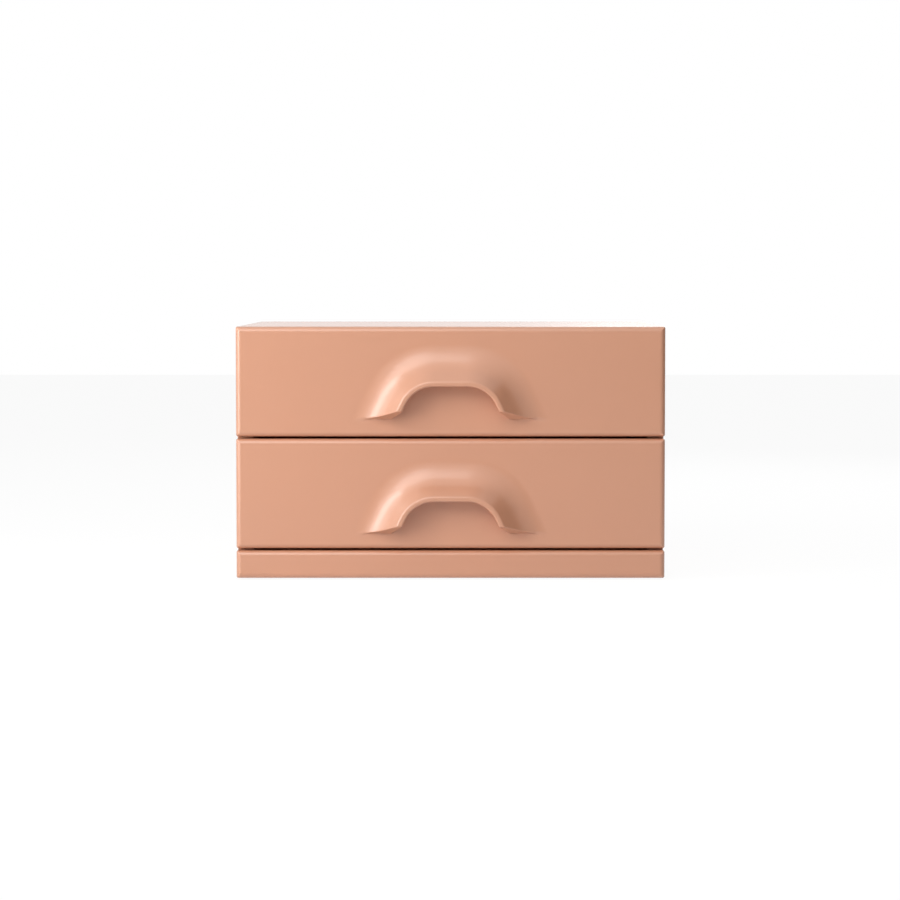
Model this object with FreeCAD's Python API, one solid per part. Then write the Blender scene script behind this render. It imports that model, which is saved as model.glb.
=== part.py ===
import FreeCAD, Part
import math
import os

# Tabletop chest of two drawers with moulded arch handles, in millimetres.
# Origin: middle of the whole footprint, on the surface that the chest stands on.
# +Z is up, +X is to the right as one faces the chest, and the fronts face -Y.

Vector = FreeCAD.Vector
same_point = 1e-6             # points closer than this are one point

# Lacquered body
body_width = 400.0            # across the drawer fronts
body_depth = 360.0            # face of the drawer fronts to the back edge
plinth_height = 26.0
front_height = 102.5          # each drawer front
front_thickness = 18.0
front_gap = 2.0               # shadow gap above the plinth and between the fronts
closing_gap = 1.2             # closed drawer front to the carcass
board = 15.0                  # carcass boards
side_inset = 0.4              # carcass set in from each end of the fronts
floor_drop = 2.0              # top of the bottom board below the top of the plinth
edge_round = 5.0              # long front edges of fronts and plinth
corner_round = 1.8            # corners of fronts and plinth as seen from the front
body_round = 1.5              # outer edges of the carcass
back_thickness = 5.0
back_inset = 8.0              # back board in from the rear edges
groove_depth = 6.0            # grooves that hold the back board
tongue_thickness = 4.0        # loose tongues that join the boards
tongue_width = 16.0
tongue_stop = 30.0            # tongues end this far from the boards' ends
fit = 0.1                     # clearance of a board or tongue on each side in its groove
pad_height = 2.0              # felt pads under the sides
pad_width = 10.0
pad_length = 30.0
pad_from_end = 10.0
bumper_height = 0.9           # soft bumpers that the closed fronts meet
bumper_size = 8.0
bumper_drop = 14.0            # middle of a bumper below the top of its front

# Arch handle, moulded in one piece with each front
arch_rise = 20.0              # crest above the face
arch_root = 2.5               # ridge carried on into the front below the face
arch_flat = 30.4              # straight run of the inner edge at the top
arch_corner = 29.6            # radius of the inner edge at its corners
arch_turn = 64.5              # degrees from the flat top to the straight legs
arch_drop = 31.0              # inner top edge down to the end of the legs, at the face
arch_end_rise = 7.9           # leg ends slope up by this much from face to crest
arch_below_upper = -0.15      # middle of the arch below the middle of the upper front
arch_below_lower = 2.05       # the same on the lower front
crest_width = 4.4
crest_inner_round = 1.8
crest_outer_round = 2.2
undercut_angle = 17.0         # inner wall leans back under the crest
flare_angle = 46.0            # outer slope below the crest, from the face
flare_round = 37.0            # radius in which the slope runs out on the face

# Drawer boxes
side_room = 12.5              # between a drawer side and the carcass, for the runner
box_headroom = 11.0           # top of the upper box to the top board
box_rear_room = 29.0          # closed box to the back board
box_wall = 12.0
box_housing = 8.0             # drawer sides let into the back of the front
box_rebate = 4.0              # rear board let into the sides
box_ease = 1.0                # bevel along the upper edges
bottom_thickness = 4.0
bottom_groove = 5.0
bottom_lift = 10.0            # box bottom above the lower edge of the sides

# Roller runners of folded steel, one rail on the carcass and one on the drawer
rail_steel = 1.2
rail_fold = 1.7               # outer radius of the folds
rail_setback = 2.0            # carcass rail behind the front edge of the carcass
rail_rear_room = 25.8         # carcass rail to the back board
rail_lift = 6.0               # lower carcass rails above the bottom board
track_gap = 0.4               # lower flange of the carcass rail to the drawer rail's web
keeper_width = 7.5            # upper flange, which stops the drawer from tipping
keeper_gap = 0.5              # above the drawer rail
keeper_cutback = 30.0         # front length without the upper flange
shelf_lift = 3.0              # drawer rail's shelf above the underside of the carcass rail
shelf_width = 10.0            # shelf under the drawer side
drawer_track_gap = 1.5        # drawer rail's upper flange to the carcass rail's web
roller_radius = 8.0
roller_gap = 0.3              # roller to the track that it runs on
roller_idle_gap = 0.5         # roller to the flange on its other side
roller_side_gap = 0.2
roller_from_end = 11.0        # roller centres from the ends of their rails
open_spread = 54.8            # between front and rear rollers with the drawer fully open
pin_radius = 2.0
pin_clearance = 0.05
pin_head_radius = 3.5
pin_head = 1.0
pin_head_sides = 12
pin_head_room = 2.3           # pin's head to the web of the other rail
stop_height = 3.0             # stop that the rear roller meets
stop_width = 5.0
stop_gap = 0.4

# Countersunk screws of the rails
screw_radius = 1.75
screw_length = 10.0
screw_clearance = 0.05
screw_from_end = 45.0         # in from the ends of each rail
screw_sides = 8

# Widths across the arch's ridge, outward from the inner edge that shows from the front
lean, slope = math.radians(undercut_angle), math.radians(flare_angle)
arch_crest_start = crest_inner_round * (1 - 1 / math.tan((math.pi / 2 - lean) / 2))
arch_wall_foot = arch_crest_start + arch_rise * math.tan(lean)
arch_slope_foot = crest_width + arch_rise / math.tan(slope)
arch_width = arch_slope_foot + flare_round * math.tan(slope / 2)

# Places that follow from the sizes above
front_face_y = -(body_depth + arch_rise) / 2 + arch_rise
front_back_y = front_face_y + front_thickness
carcass_y = front_back_y + closing_gap
rear_y = front_face_y + body_depth
back_y = rear_y - back_inset - back_thickness
plinth_top = pad_height + plinth_height
level_pitch = front_height + front_gap
front_levels = {"lower": plinth_top + front_gap, "upper": plinth_top + front_gap + level_pitch}
arch_belows = {"lower": arch_below_lower, "upper": arch_below_upper}
top_z = front_levels["upper"] + front_height
ceiling_z = top_z - board
floor_z = plinth_top - floor_drop
outer_x = body_width / 2 - side_inset
inner_x = outer_x - board
box_x = inner_x - side_room
rail_levels = {"lower": floor_z + rail_lift, "upper": floor_z + rail_lift + level_pitch}
box_height = ceiling_z - box_headroom - rail_levels["upper"] - shelf_lift - rail_steel
box_back_y = back_y - box_rear_room
rail_y = carcass_y + rail_setback
rail_end_y = back_y - rail_rear_room
front_roller_y = rail_y + roller_from_end
rear_roller_y = box_back_y - roller_from_end
travel = rear_roller_y - front_roller_y - open_spread
roller_width = side_room - 2 * (rail_steel + roller_side_gap) - pin_head - pin_head_room
drawer_track_z = rail_steel + 2 * roller_radius + roller_gap + roller_idle_gap
keeper_z = drawer_track_z + rail_steel + keeper_gap
screw_head_radius = screw_radius + rail_steel


def block(x0, x1, y0, y1, z0, z1):
    return Part.makeBox(x1 - x0, y1 - y0, z1 - z0, Vector(x0, y0, z0))


def rounded(corner, before, after, radius):
    """Start, middle and end of the arc that rounds a corner between two neighbours."""
    back, ahead = (before - corner).normalize(), (after - corner).normalize()
    half = back.getAngle(ahead) / 2
    run = radius / math.tan(half)
    inward = (back + ahead).normalize()
    middle = corner + inward * (radius / math.sin(half) - radius)
    return corner + back * run, middle, corner + ahead * run


def outline(corners, place):
    """Face inside corners (a, b, radius), each rounded; place(a, b) puts a point in space."""
    points = [place(a, b) for a, b, _ in corners]
    count = len(points)
    arcs = []
    for i, (_, _, radius) in enumerate(corners):
        arcs.append(rounded(points[i], points[i - 1], points[(i + 1) % count], radius))
    edges = []
    for i, (start, middle, end) in enumerate(arcs):
        following = arcs[(i + 1) % count][0]
        if corners[i][2] > 0:
            edges.append(Part.Arc(start, middle, end).toShape())
        if not end.isEqual(following, same_point):
            edges.append(Part.LineSegment(end, following).toShape())
    return Part.Face(Part.Wire(edges))


def faceted(rings, sides, base, axis):
    """Solid with so many flat sides through rings (distance along the axis, radius)."""
    turns = [2 * math.pi * k / sides for k in range(sides)]
    loops = []
    for along, radius in rings:
        loops.append([Vector(radius * math.cos(t), radius * math.sin(t), along) for t in turns])
    faces = [Part.Face(Part.makePolygon(loop + loop[:1])) for loop in (loops[0], loops[-1])]
    for low, high in zip(loops, loops[1:]):
        for k in range(sides):
            n = (k + 1) % sides
            faces.append(Part.Face(Part.makePolygon([low[k], low[n], high[n], high[k], low[k]])))
    solid = Part.Solid(Part.Shell(faces))
    solid.Placement = FreeCAD.Placement(base, FreeCAD.Rotation(Vector(0, 0, 1), axis))
    return solid


def mirrored(shape):
    return shape.mirror(Vector(0, 0, 0), Vector(1, 0, 0))


def both_sides(solids):
    return solids + [mirrored(solid) for solid in solids]


def less(shape, *tools):
    """The shape without the tools, with no leftover seams."""
    return shape.cut(list(tools)).removeSplitter()


def rounded_front(z0, height, thickness):
    """Board with its long front edges rounded, the rounds meeting in mitres at the corners."""
    x, y0, y1 = body_width / 2, front_face_y, front_face_y + thickness
    z1 = z0 + height
    seen = [(-x, z0), (x, z0), (x, z1), (-x, z1)]
    plan = [(-x, y0, edge_round), (x, y0, edge_round), (x, y1, 0), (-x, y1, 0)]
    side = [(y0, z0, edge_round), (y0, z1, edge_round), (y1, z1, 0), (y1, z0, 0)]
    seen = outline([(a, b, corner_round) for a, b in seen], lambda a, b: Vector(a, y0, b))
    plan = outline(plan, lambda a, b: Vector(a, b, z0))
    side = outline(side, lambda a, b: Vector(-x, a, b))
    body = seen.extrude(Vector(0, thickness, 0))
    body = body.common(plan.extrude(Vector(0, 0, height)))
    return body.common(side.extrude(Vector(2 * x, 0, 0))).removeSplitter()


def arch_section(edge_z):
    """Section through the arch's ridge above its inner edge: undercut wall, crest and flared slope."""
    corners = [
        (arch_wall_foot, -arch_root, 0),
        (arch_wall_foot, 0, 0),
        (arch_crest_start, arch_rise, crest_inner_round),
        (crest_width, arch_rise, crest_outer_round),
        (arch_slope_foot, 0, flare_round),
        (arch_width, 0, 0),
        (arch_width, -arch_root, 0),
    ]
    return outline(corners, lambda a, b: Vector(arch_flat / 2, front_face_y - b, edge_z + a))


def below_arch_ends(edge_z, reach):
    """Everything below the sloping plane that the legs of an arch end on."""
    end_z, slope = edge_z - arch_drop, arch_end_rise / arch_rise
    back_y, front_y = front_face_y + 2 * arch_root, front_face_y - 2 * arch_rise
    corners = [
        (back_y, end_z - slope * 2 * arch_root, 0),
        (front_y, end_z + slope * 2 * arch_rise, 0),
        (front_y, end_z - reach, 0),
        (back_y, end_z - reach, 0),
    ]
    return outline(corners, lambda a, b: Vector(0, a, b)).extrude(Vector(reach, 0, 0))


def arch_handle(edge_z):
    """Ridge swept round the finger space: flat top, two round corners and two straight legs."""
    turn = math.radians(arch_turn)
    section = arch_section(edge_z)
    pivot, axis = Vector(arch_flat / 2, 0, edge_z - arch_corner), Vector(0, 1, 0)
    leg_length = (arch_drop + arch_width) / math.sin(turn)
    leg_section = section.copy()
    leg_section.rotate(pivot, axis, arch_turn)
    leg = leg_section.extrude(Vector(math.cos(turn), 0, -math.sin(turn)) * leg_length)
    reach = arch_flat + arch_corner + arch_width + leg_length
    leg = leg.cut(below_arch_ends(edge_z, reach))
    corner = section.revolve(pivot, axis, arch_turn)
    return section.extrude(Vector(-arch_flat, 0, 0)).fuse(both_sides([corner, leg]))


def drawer_front(level):
    """Front with its arch handle, housed on its back for the drawer sides and bottom."""
    z = front_levels[level]
    spare = (arch_width - arch_drop) / 2
    edge_z = z + front_height / 2 - arch_belows[level] - spare
    slab = rounded_front(z, front_height, front_thickness).fuse(arch_handle(edge_z))
    return less(slab, *both_sides([box_side(level)]), box_bottom(level, fit))


def back_board(clearance=0.0):
    """Back board, or with a clearance the space of the grooves that hold it."""
    x = inner_x + groove_depth - fit + clearance
    z0 = floor_z - groove_depth + fit - clearance
    z1 = ceiling_z + groove_depth - fit + clearance
    return block(-x, x, back_y - clearance, back_y + back_thickness + clearance, z0, z1)


def tongues(clearance=0.0):
    """Loose tongues: sides to top, sides to bottom, and bottom to plinth."""
    half, thin = tongue_width / 2 + clearance, tongue_thickness / 2 + clearance
    y0, y1 = carcass_y + tongue_stop - clearance, back_y - tongue_stop + clearance
    x, z = (inner_x + outer_x) / 2, floor_z - board / 2
    upright = block(x - thin, x + thin, y0, y1, ceiling_z - half, ceiling_z + half)
    level = block(inner_x - half, inner_x + half, y0, y1, z - thin, z + thin)
    x = inner_x - tongue_stop + clearance
    front = block(-x, x, carcass_y - half, carcass_y + half, z - thin, z + thin)
    return both_sides([upright, level]) + [front]


def side_panel():
    """Right side of the carcass, with grooves for the back board and the tongues."""
    corners = [(inner_x, carcass_y, 0), (outer_x, carcass_y, 0), (outer_x, rear_y, body_round)]
    panel = outline(corners + [(inner_x, rear_y, 0)], lambda a, b: Vector(a, b, pad_height))
    panel = panel.extrude(Vector(0, 0, ceiling_z - pad_height))
    holes = []
    for level in rail_levels:
        holes += carcass_rail_screws(level, screw_clearance)
    return less(panel, back_board(fit), *tongues(fit), *holes)


def top_panel():
    x = outer_x
    across = [(-x, ceiling_z, 0), (x, ceiling_z, 0), (x, top_z, body_round), (-x, top_z, body_round)]
    plan = [(-x, carcass_y, 0), (x, carcass_y, 0), (x, rear_y, body_round), (-x, rear_y, body_round)]
    panel = outline(across, lambda a, b: Vector(a, carcass_y, b))
    panel = panel.extrude(Vector(0, rear_y - carcass_y, 0))
    plan = outline(plan, lambda a, b: Vector(a, b, ceiling_z)).extrude(Vector(0, 0, board))
    return less(panel.common(plan), back_board(fit), *tongues(fit))


def bottom_panel():
    panel = block(-inner_x, inner_x, carcass_y, rear_y, floor_z - board, floor_z)
    return less(panel, back_board(fit), *tongues(fit))


def plinth_board():
    plinth = rounded_front(pad_height, plinth_height, front_thickness + closing_gap)
    return less(plinth, tongues(fit)[-1])


def glide_pads():
    x0 = (inner_x + outer_x - pad_width) / 2
    pads = []
    for y0 in (carcass_y + pad_from_end, rear_y - pad_from_end - pad_length):
        pads.append(block(x0, x0 + pad_width, y0, y0 + pad_length, 0, pad_height))
    return both_sides(pads)


def closing_bumpers():
    x0 = (inner_x + outer_x - bumper_size) / 2
    bumpers = []
    for z in front_levels.values():
        z0 = z + front_height - bumper_drop - bumper_size / 2
        bumpers.append(
            block(x0, x0 + bumper_size, carcass_y - bumper_height, carcass_y, z0, z0 + bumper_size)
        )
    return both_sides(bumpers)


def rail_screw(base, axis, clearance):
    """Countersunk screw flush with the rail at base, or with a clearance the hole for it."""
    shank = screw_radius + clearance
    rings = [(0, screw_head_radius + clearance), (rail_steel, shank), (screw_length + clearance, shank)]
    return faceted(rings, screw_sides, base, axis)


def carcass_rail_screws(level, clearance=0.0):
    z = rail_levels[level] + drawer_track_z / 2
    ys = (rail_y + screw_from_end, rail_end_y - screw_from_end)
    x = inner_x - rail_steel
    return [rail_screw(Vector(x, y, z), Vector(1, 0, 0), clearance) for y in ys]


def drawer_rail_screws(level, clearance=0.0):
    z = rail_levels[level] + (shelf_lift + drawer_track_z) / 2
    ys = (front_back_y + screw_from_end, box_back_y - screw_from_end)
    x = box_x + rail_steel
    return [rail_screw(Vector(x, y, z), Vector(-1, 0, 0), clearance) for y in ys]


def carcass_rail(level):
    """Right-hand rail on the carcass: web, lower track, upper keeper and the open stop."""
    base, steel, height = rail_levels[level], rail_steel, keeper_z + rail_steel
    track = side_room - steel - track_gap
    profile = [
        (0, 0, rail_fold),
        (track, 0, 0),
        (track, steel, 0),
        (steel, steel, 0),
        (steel, keeper_z, 0),
        (keeper_width, keeper_z, 0),
        (keeper_width, height, 0),
        (0, height, rail_fold),
    ]
    rail = outline(profile, lambda a, b: Vector(inner_x - a, rail_y, base + b))
    rail = rail.extrude(Vector(0, rail_end_y - rail_y, 0))
    cutback_y = rail_y + keeper_cutback
    x0, x1 = inner_x - keeper_width, inner_x - rail_fold
    relief = block(x0, x1, rail_y, cutback_y, base + keeper_z, base + height)
    # The rear roller meets the stop's upper edge
    axle_height = roller_radius + roller_gap - stop_height
    reach = math.sqrt(roller_radius**2 - axle_height**2)
    stop_y = rear_roller_y - travel - reach - stop_gap
    x0, x1 = inner_x - track, inner_x - track + stop_width
    stop = block(x0, x1, stop_y - steel, stop_y, base, base + steel + stop_height)
    return less(rail.cut(relief).fuse(stop), *carcass_rail_screws(level, screw_clearance))


def drawer_rail(level):
    """Right-hand rail on the drawer: upper track, web, and shelf under the drawer side."""
    base, steel = rail_levels[level], rail_steel
    track, height = side_room - steel - drawer_track_gap, drawer_track_z + steel
    profile = [
        (-shelf_width, shelf_lift, 0),
        (steel, shelf_lift, rail_fold),
        (steel, drawer_track_z, 0),
        (track, drawer_track_z, 0),
        (track, height, 0),
        (0, height, rail_fold),
        (0, shelf_lift + steel, 0),
        (-shelf_width, shelf_lift + steel, 0),
    ]
    rail = outline(profile, lambda a, b: Vector(box_x + a, front_back_y, base + b))
    rail = rail.extrude(Vector(0, box_back_y - front_back_y, 0))
    return less(rail, *drawer_rail_screws(level, screw_clearance))


def front_axle(level):
    """Foot and direction of the pin on a carcass rail; its roller carries the drawer rail."""
    z = rail_levels[level] + drawer_track_z - roller_gap - roller_radius
    return Vector(inner_x - rail_steel, front_roller_y, z), Vector(-1, 0, 0)


def rear_axle(level):
    """Foot and direction of the pin on a drawer rail; its roller runs in the carcass rail."""
    z = rail_levels[level] + rail_steel + roller_gap + roller_radius
    return Vector(box_x + rail_steel, rear_roller_y, z), Vector(1, 0, 0)


def roller_pin(foot, axis):
    """Pin welded to a rail's web, with a head outside the roller."""
    shank = roller_width + 2 * roller_side_gap
    rings = [(shank, pin_head_radius), (shank + pin_head, pin_head_radius)]
    head = faceted(rings, pin_head_sides, foot, axis)
    return Part.makeCylinder(pin_radius, shank, foot, axis).fuse(head)


def roller(foot, axis):
    start = foot + axis * roller_side_gap
    bore = Part.makeCylinder(pin_radius + pin_clearance, roller_width, start, axis)
    return Part.makeCylinder(roller_radius, roller_width, start, axis).cut(bore)


def box_z(level):
    return rail_levels[level] + shelf_lift + rail_steel


def box_bottom(level, clearance=0.0):
    """Drawer bottom, or with a clearance the space of the grooves that hold it."""
    z = box_z(level) + bottom_lift
    x = box_x - box_wall + bottom_groove - fit + clearance
    y0 = front_back_y - bottom_groove + fit - clearance
    y1 = box_back_y - box_wall + bottom_groove - fit + clearance
    return block(-x, x, y0, y1, z, z + bottom_thickness + 2 * clearance)


def eased(a0, a1, z0, z1):
    """Corners of an upright board's section, its upper edges bevelled."""
    low, ease = z1 - box_ease, box_ease
    corners = [(a0, z0), (a1, z0), (a1, low), (a1 - ease, z1), (a0 + ease, z1), (a0, low)]
    return [(a, b, 0) for a, b in corners]


def box_side(level):
    """Right side of a drawer box, housed in the front and rebated for the rear board."""
    z0, z1 = box_z(level), box_z(level) + box_height
    x0, y0 = box_x - box_wall, front_back_y - box_housing
    side = outline(eased(x0, box_x, z0, z1), lambda a, b: Vector(a, y0, b))
    side = side.extrude(Vector(0, box_back_y - y0, 0))
    rebate = block(x0, x0 + box_rebate, box_back_y - box_wall, box_back_y, z0, z1)
    return less(side, rebate, box_bottom(level, fit), *drawer_rail_screws(level, screw_clearance))


def box_back(level):
    """Rear board between the drawer sides, with a rounded upper edge."""
    z0, z1 = box_z(level), box_z(level) + box_height
    x, y0, y1 = box_x - box_wall + box_rebate, box_back_y - box_wall, box_back_y
    rear = outline(eased(y0, y1, z0, z1), lambda a, b: Vector(-x, a, b))
    rear = rear.extrude(Vector(2 * x, 0, 0))
    return less(rear, box_bottom(level, fit))


def carcass_nodes():
    side = side_panel()
    screws, pins = [], []
    for level in rail_levels:
        screws += carcass_rail_screws(level)
        pins.append(roller_pin(*front_axle(level)))
    nodes = {
        "top_panel": top_panel(),
        "right_side_panel": side,
        "left_side_panel": mirrored(side),
        "bottom_panel": bottom_panel(),
        "back_panel": back_board(),
        "plinth_board": plinth_board(),
        "joint_tongues": Part.makeCompound(tongues()),
        "glide_pads": Part.makeCompound(glide_pads()),
        "closing_bumpers": Part.makeCompound(closing_bumpers()),
        "carcass_rail_screws": Part.makeCompound(both_sides(screws)),
        "carcass_roller_pins": Part.makeCompound(both_sides(pins)),
    }
    for level in rail_levels:
        rail, wheel = carcass_rail(level), roller(*front_axle(level))
        nodes[f"{level}_right_carcass_rail"] = rail
        nodes[f"{level}_left_carcass_rail"] = mirrored(rail)
        nodes[f"{level}_right_front_roller"] = wheel
        nodes[f"{level}_left_front_roller"] = mirrored(wheel)
    return nodes


def drawer_nodes(level):
    side, rail, axle = box_side(level), drawer_rail(level), rear_axle(level)
    return {
        f"{level}_drawer_front": drawer_front(level),
        f"{level}_box_right_side": side,
        f"{level}_box_left_side": mirrored(side),
        f"{level}_box_back": box_back(level),
        f"{level}_box_bottom": box_bottom(level),
        f"{level}_right_drawer_rail": rail,
        f"{level}_left_drawer_rail": mirrored(rail),
        f"{level}_drawer_rail_screws": Part.makeCompound(both_sides(drawer_rail_screws(level))),
        f"{level}_drawer_roller_pins": Part.makeCompound(both_sides([roller_pin(*axle)])),
        f"{level}_right_rear_roller": roller(*axle),
        f"{level}_left_rear_roller": mirrored(roller(*axle)),
    }


os.makedirs("parts", exist_ok=True)
nodes = carcass_nodes()
for level in rail_levels:
    nodes.update(drawer_nodes(level))
for name, shape in nodes.items():
    shape.exportStep(f"parts/{name}.step")
print(f"{len(nodes)} nodes, drawer travel {travel:.2f} mm, roller turns {travel / roller_radius:.3f} rad")
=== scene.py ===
import logging
import math
from collections.abc import Iterable, Sequence
from dataclasses import dataclass
from enum import Enum

import bmesh
import bpy
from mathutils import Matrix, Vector


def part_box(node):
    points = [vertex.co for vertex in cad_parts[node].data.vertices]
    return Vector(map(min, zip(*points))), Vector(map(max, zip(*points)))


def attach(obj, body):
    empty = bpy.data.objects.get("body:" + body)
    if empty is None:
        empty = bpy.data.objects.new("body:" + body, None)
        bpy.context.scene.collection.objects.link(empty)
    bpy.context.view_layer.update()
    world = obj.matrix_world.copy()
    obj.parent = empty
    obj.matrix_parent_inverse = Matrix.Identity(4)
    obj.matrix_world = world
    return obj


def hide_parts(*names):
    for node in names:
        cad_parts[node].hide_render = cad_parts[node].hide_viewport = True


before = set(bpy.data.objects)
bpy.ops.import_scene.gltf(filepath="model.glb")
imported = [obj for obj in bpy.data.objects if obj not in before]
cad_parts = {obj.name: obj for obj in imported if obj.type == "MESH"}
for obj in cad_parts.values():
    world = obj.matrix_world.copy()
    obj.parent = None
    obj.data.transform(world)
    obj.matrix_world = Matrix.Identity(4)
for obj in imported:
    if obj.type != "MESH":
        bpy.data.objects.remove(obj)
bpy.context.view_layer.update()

LOG = logging.getLogger("drawer_chest")

MM = 0.001
SAME_POINT = 1e-7
SAME_NODE_POINT = 1e-6
FLAT_TURN = math.radians(0.5)
EDGE_TURN = math.radians(35.0)

Span = tuple[float, float]
Point = tuple[float, float, float]
Colour = tuple[float, float, float]
Row = list[bmesh.types.BMVert]
Values = dict[str, object]

WHITE: Colour = (1.0, 1.0, 1.0)


class Side(Enum):
    """The two sides of the chest, each with its sign along X."""

    RIGHT = 1
    LEFT = -1

    @property
    def word(self) -> str:
        """The side's name as the nodes spell it."""
        return self.name.lower()


class Level(Enum):
    """The two drawers."""

    LOWER = "lower"
    UPPER = "upper"


class Grain(Enum):
    """The axis that a board's grain runs along."""

    ALONG_X = (0.09, 1.0, 1.0)
    ALONG_Y = (1.0, 0.09, 1.0)


class Signal:
    """A number that varies over a surface: one output socket of a material's nodes."""

    def __init__(self, graph: "Graph", socket: bpy.types.NodeSocket) -> None:
        """Keeps the graph and the socket that the number comes from."""
        self.graph = graph
        self.socket = socket

    def __add__(self, other: object) -> "Signal":
        """Sum."""
        return self.graph.math("ADD", self, other)

    def __radd__(self, other: object) -> "Signal":
        """Sum with a plain number on the left."""
        return self.graph.math("ADD", other, self)

    def __sub__(self, other: object) -> "Signal":
        """Difference."""
        return self.graph.math("SUBTRACT", self, other)

    def __rsub__(self, other: object) -> "Signal":
        """Difference from a plain number on the left."""
        return self.graph.math("SUBTRACT", other, self)

    def __mul__(self, other: object) -> "Signal":
        """Product."""
        return self.graph.math("MULTIPLY", self, other)

    def __rmul__(self, other: object) -> "Signal":
        """Product with a plain number on the left."""
        return self.graph.math("MULTIPLY", other, self)

    def between(self, low: float, high: float) -> "Signal":
        """Spreads a signal that runs from 0 to 1 over another span."""
        return self * (high - low) + low

    def above(self, level: float, width: float) -> "Signal":
        """A soft step from 0 to 1.

        Args:
            level: the value at which the step is half way.
            width: how far the step spreads.

        Returns:
            The step as a signal.
        """
        sockets = {"Value": self, "From Min": level - width / 2, "From Max": level + width / 2}
        settings = {"interpolation_type": "SMOOTHSTEP"}
        return self.graph.read("ShaderNodeMapRange", settings, sockets)


class Graph:
    """The nodes of one material, added by expressions and by one general method."""

    def __init__(self, tree: bpy.types.NodeTree) -> None:
        """Starts from an empty tree."""
        self.tree = tree
        tree.nodes.clear()

    def node(self, kind: str, settings: Values, sockets: Values) -> bpy.types.Node:
        """Adds one node.

        Args:
            kind: the node's type.
            settings: its properties, set before its sockets.
            sockets: values or links by socket name.

        Returns:
            The new node.
        """
        node = self.tree.nodes.new(kind)
        for name, value in settings.items():
            setattr(node, name, value)
        for name, value in sockets.items():
            socket = next(s for s in node.inputs if s.enabled and s.name == name)
            self._feed(socket, value)
        return node

    def read(self, kind: str, settings: Values, sockets: Values, output: str = "") -> Signal:
        """Adds one node and reads one of its outputs.

        Args:
            kind, settings, sockets: as node takes them.
            output: the output's name; empty for the first one in use.

        Returns:
            The output as a signal.
        """
        node = self.node(kind, settings, sockets)
        found = next(s for s in node.outputs if s.enabled and output in ("", s.name))
        return Signal(self, found)

    def math(
        self, operation: str, first: object, second: object, kind: str = "ShaderNodeMath"
    ) -> Signal:
        """Adds one Math or Vector Math node.

        Args:
            operation: the node's operation.
            first: a signal, a number or a vector.
            second: a signal, a number or a vector.
            kind: the node's type.

        Returns:
            The result as a signal.
        """
        node = self.node(kind, {"operation": operation}, {})
        self._feed(node.inputs[0], first)
        self._feed(node.inputs[1], second)
        return Signal(self, node.outputs[0])

    def mix(self, factor: object, first: object, second: object) -> Signal:
        """Blends two colours by a factor from 0 to 1."""
        sockets = {"Factor": factor, "A": first, "B": second}
        return self.read("ShaderNodeMix", {"data_type": "RGBA"}, sockets)

    def place(self, scale: Sequence[float] = (1.0, 1.0, 1.0)) -> Signal:
        """The point on the piece, in metres, stretched along each axis by a scale."""
        point = self.read("ShaderNodeTexCoord", {}, {}, "Object")
        return self.math("MULTIPLY", point, tuple(scale), "ShaderNodeVectorMath")

    def noise(self, at: Signal, scale: float, detail: float = 2.0, warp: float = 0.0) -> Signal:
        """Smooth noise from 0 to 1.

        Args:
            at: where the noise is read.
            scale: how many blotches fit in a metre.
            detail: how many finer layers are added.
            warp: how far the noise is bent.

        Returns:
            The noise as a signal.
        """
        sockets = {"Vector": at, "Scale": scale, "Detail": detail, "Distortion": warp}
        return self.read("ShaderNodeTexNoise", {}, sockets)

    def bump(self, height: Signal, depth: float, strength: float = 1.0) -> Signal:
        """A normal bent by a height.

        Args:
            height: the height, from 0 to 1.
            depth: how far 1 stands out, in metres.
            strength: how much of the bend is used.

        Returns:
            The bent normal.
        """
        sockets = {"Height": height, "Distance": depth, "Strength": strength}
        return self.read("ShaderNodeBump", {}, sockets)

    def seen(self) -> Signal:
        """Tells seeing from lighting.

        Returns:
            1 where something is seen, mirrored or seen through, and 0 where it only lights.
        """
        path = self.node("ShaderNodeLightPath", {}, {})
        names = ("Is Camera Ray", "Is Glossy Ray", "Is Transmission Ray")
        camera, glossy, through = (Signal(self, path.outputs[name]) for name in names)
        return self.math("MINIMUM", camera + glossy + through, 1.0)

    def surface(self, sockets: Values) -> None:
        """Ends the tree in one shader with these sockets."""
        self.end(self.node("ShaderNodeBsdfPrincipled", {}, sockets))

    def end(self, shader: bpy.types.Node, kind: str = "ShaderNodeOutputMaterial") -> None:
        """Ends the tree in a shader and an output of a kind."""
        output = self.node(kind, {}, {})
        self.tree.links.new(shader.outputs[0], output.inputs[0])

    def _feed(self, socket: bpy.types.NodeSocket, value: object) -> None:
        """Links a signal to a socket, or sets a plain value on it.

        Args:
            socket: the socket to feed.
            value: a signal, a number, a vector or a colour.
        """
        if isinstance(value, Signal):
            self.tree.links.new(value.socket, socket)
        elif isinstance(value, tuple) and len(value) == 3 and socket.type == "RGBA":
            socket.default_value = (*value, 1.0)
        else:
            socket.default_value = value


def toned(colour: Colour, factor: float | Colour) -> Colour:
    """Scales a colour by one factor, or by one each for red, green and blue."""
    factors = factor if isinstance(factor, tuple) else (factor,) * len(colour)
    return tuple(part * by for part, by in zip(colour, factors))


@dataclass(frozen=True)
class Finish:
    """What a surface is made of. Each kind paints its own nodes.

    Tones are factors on a colour, shares weigh what is mixed, and rough spans the roughness.
    """

    name: str
    slot: str = ""

    def material(self) -> bpy.types.Material:
        """Makes the material once and then shares it.

        Returns:
            The finish as a material.
        """
        found = bpy.data.materials.get(self.name)
        if found is None:
            found = bpy.data.materials.new(self.name)
            found.use_nodes = True
            self.paint(Graph(found.node_tree))
        return found

    def paint(self, graph: Graph) -> None:
        """Fills the material's nodes."""
        raise NotImplementedError


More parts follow.
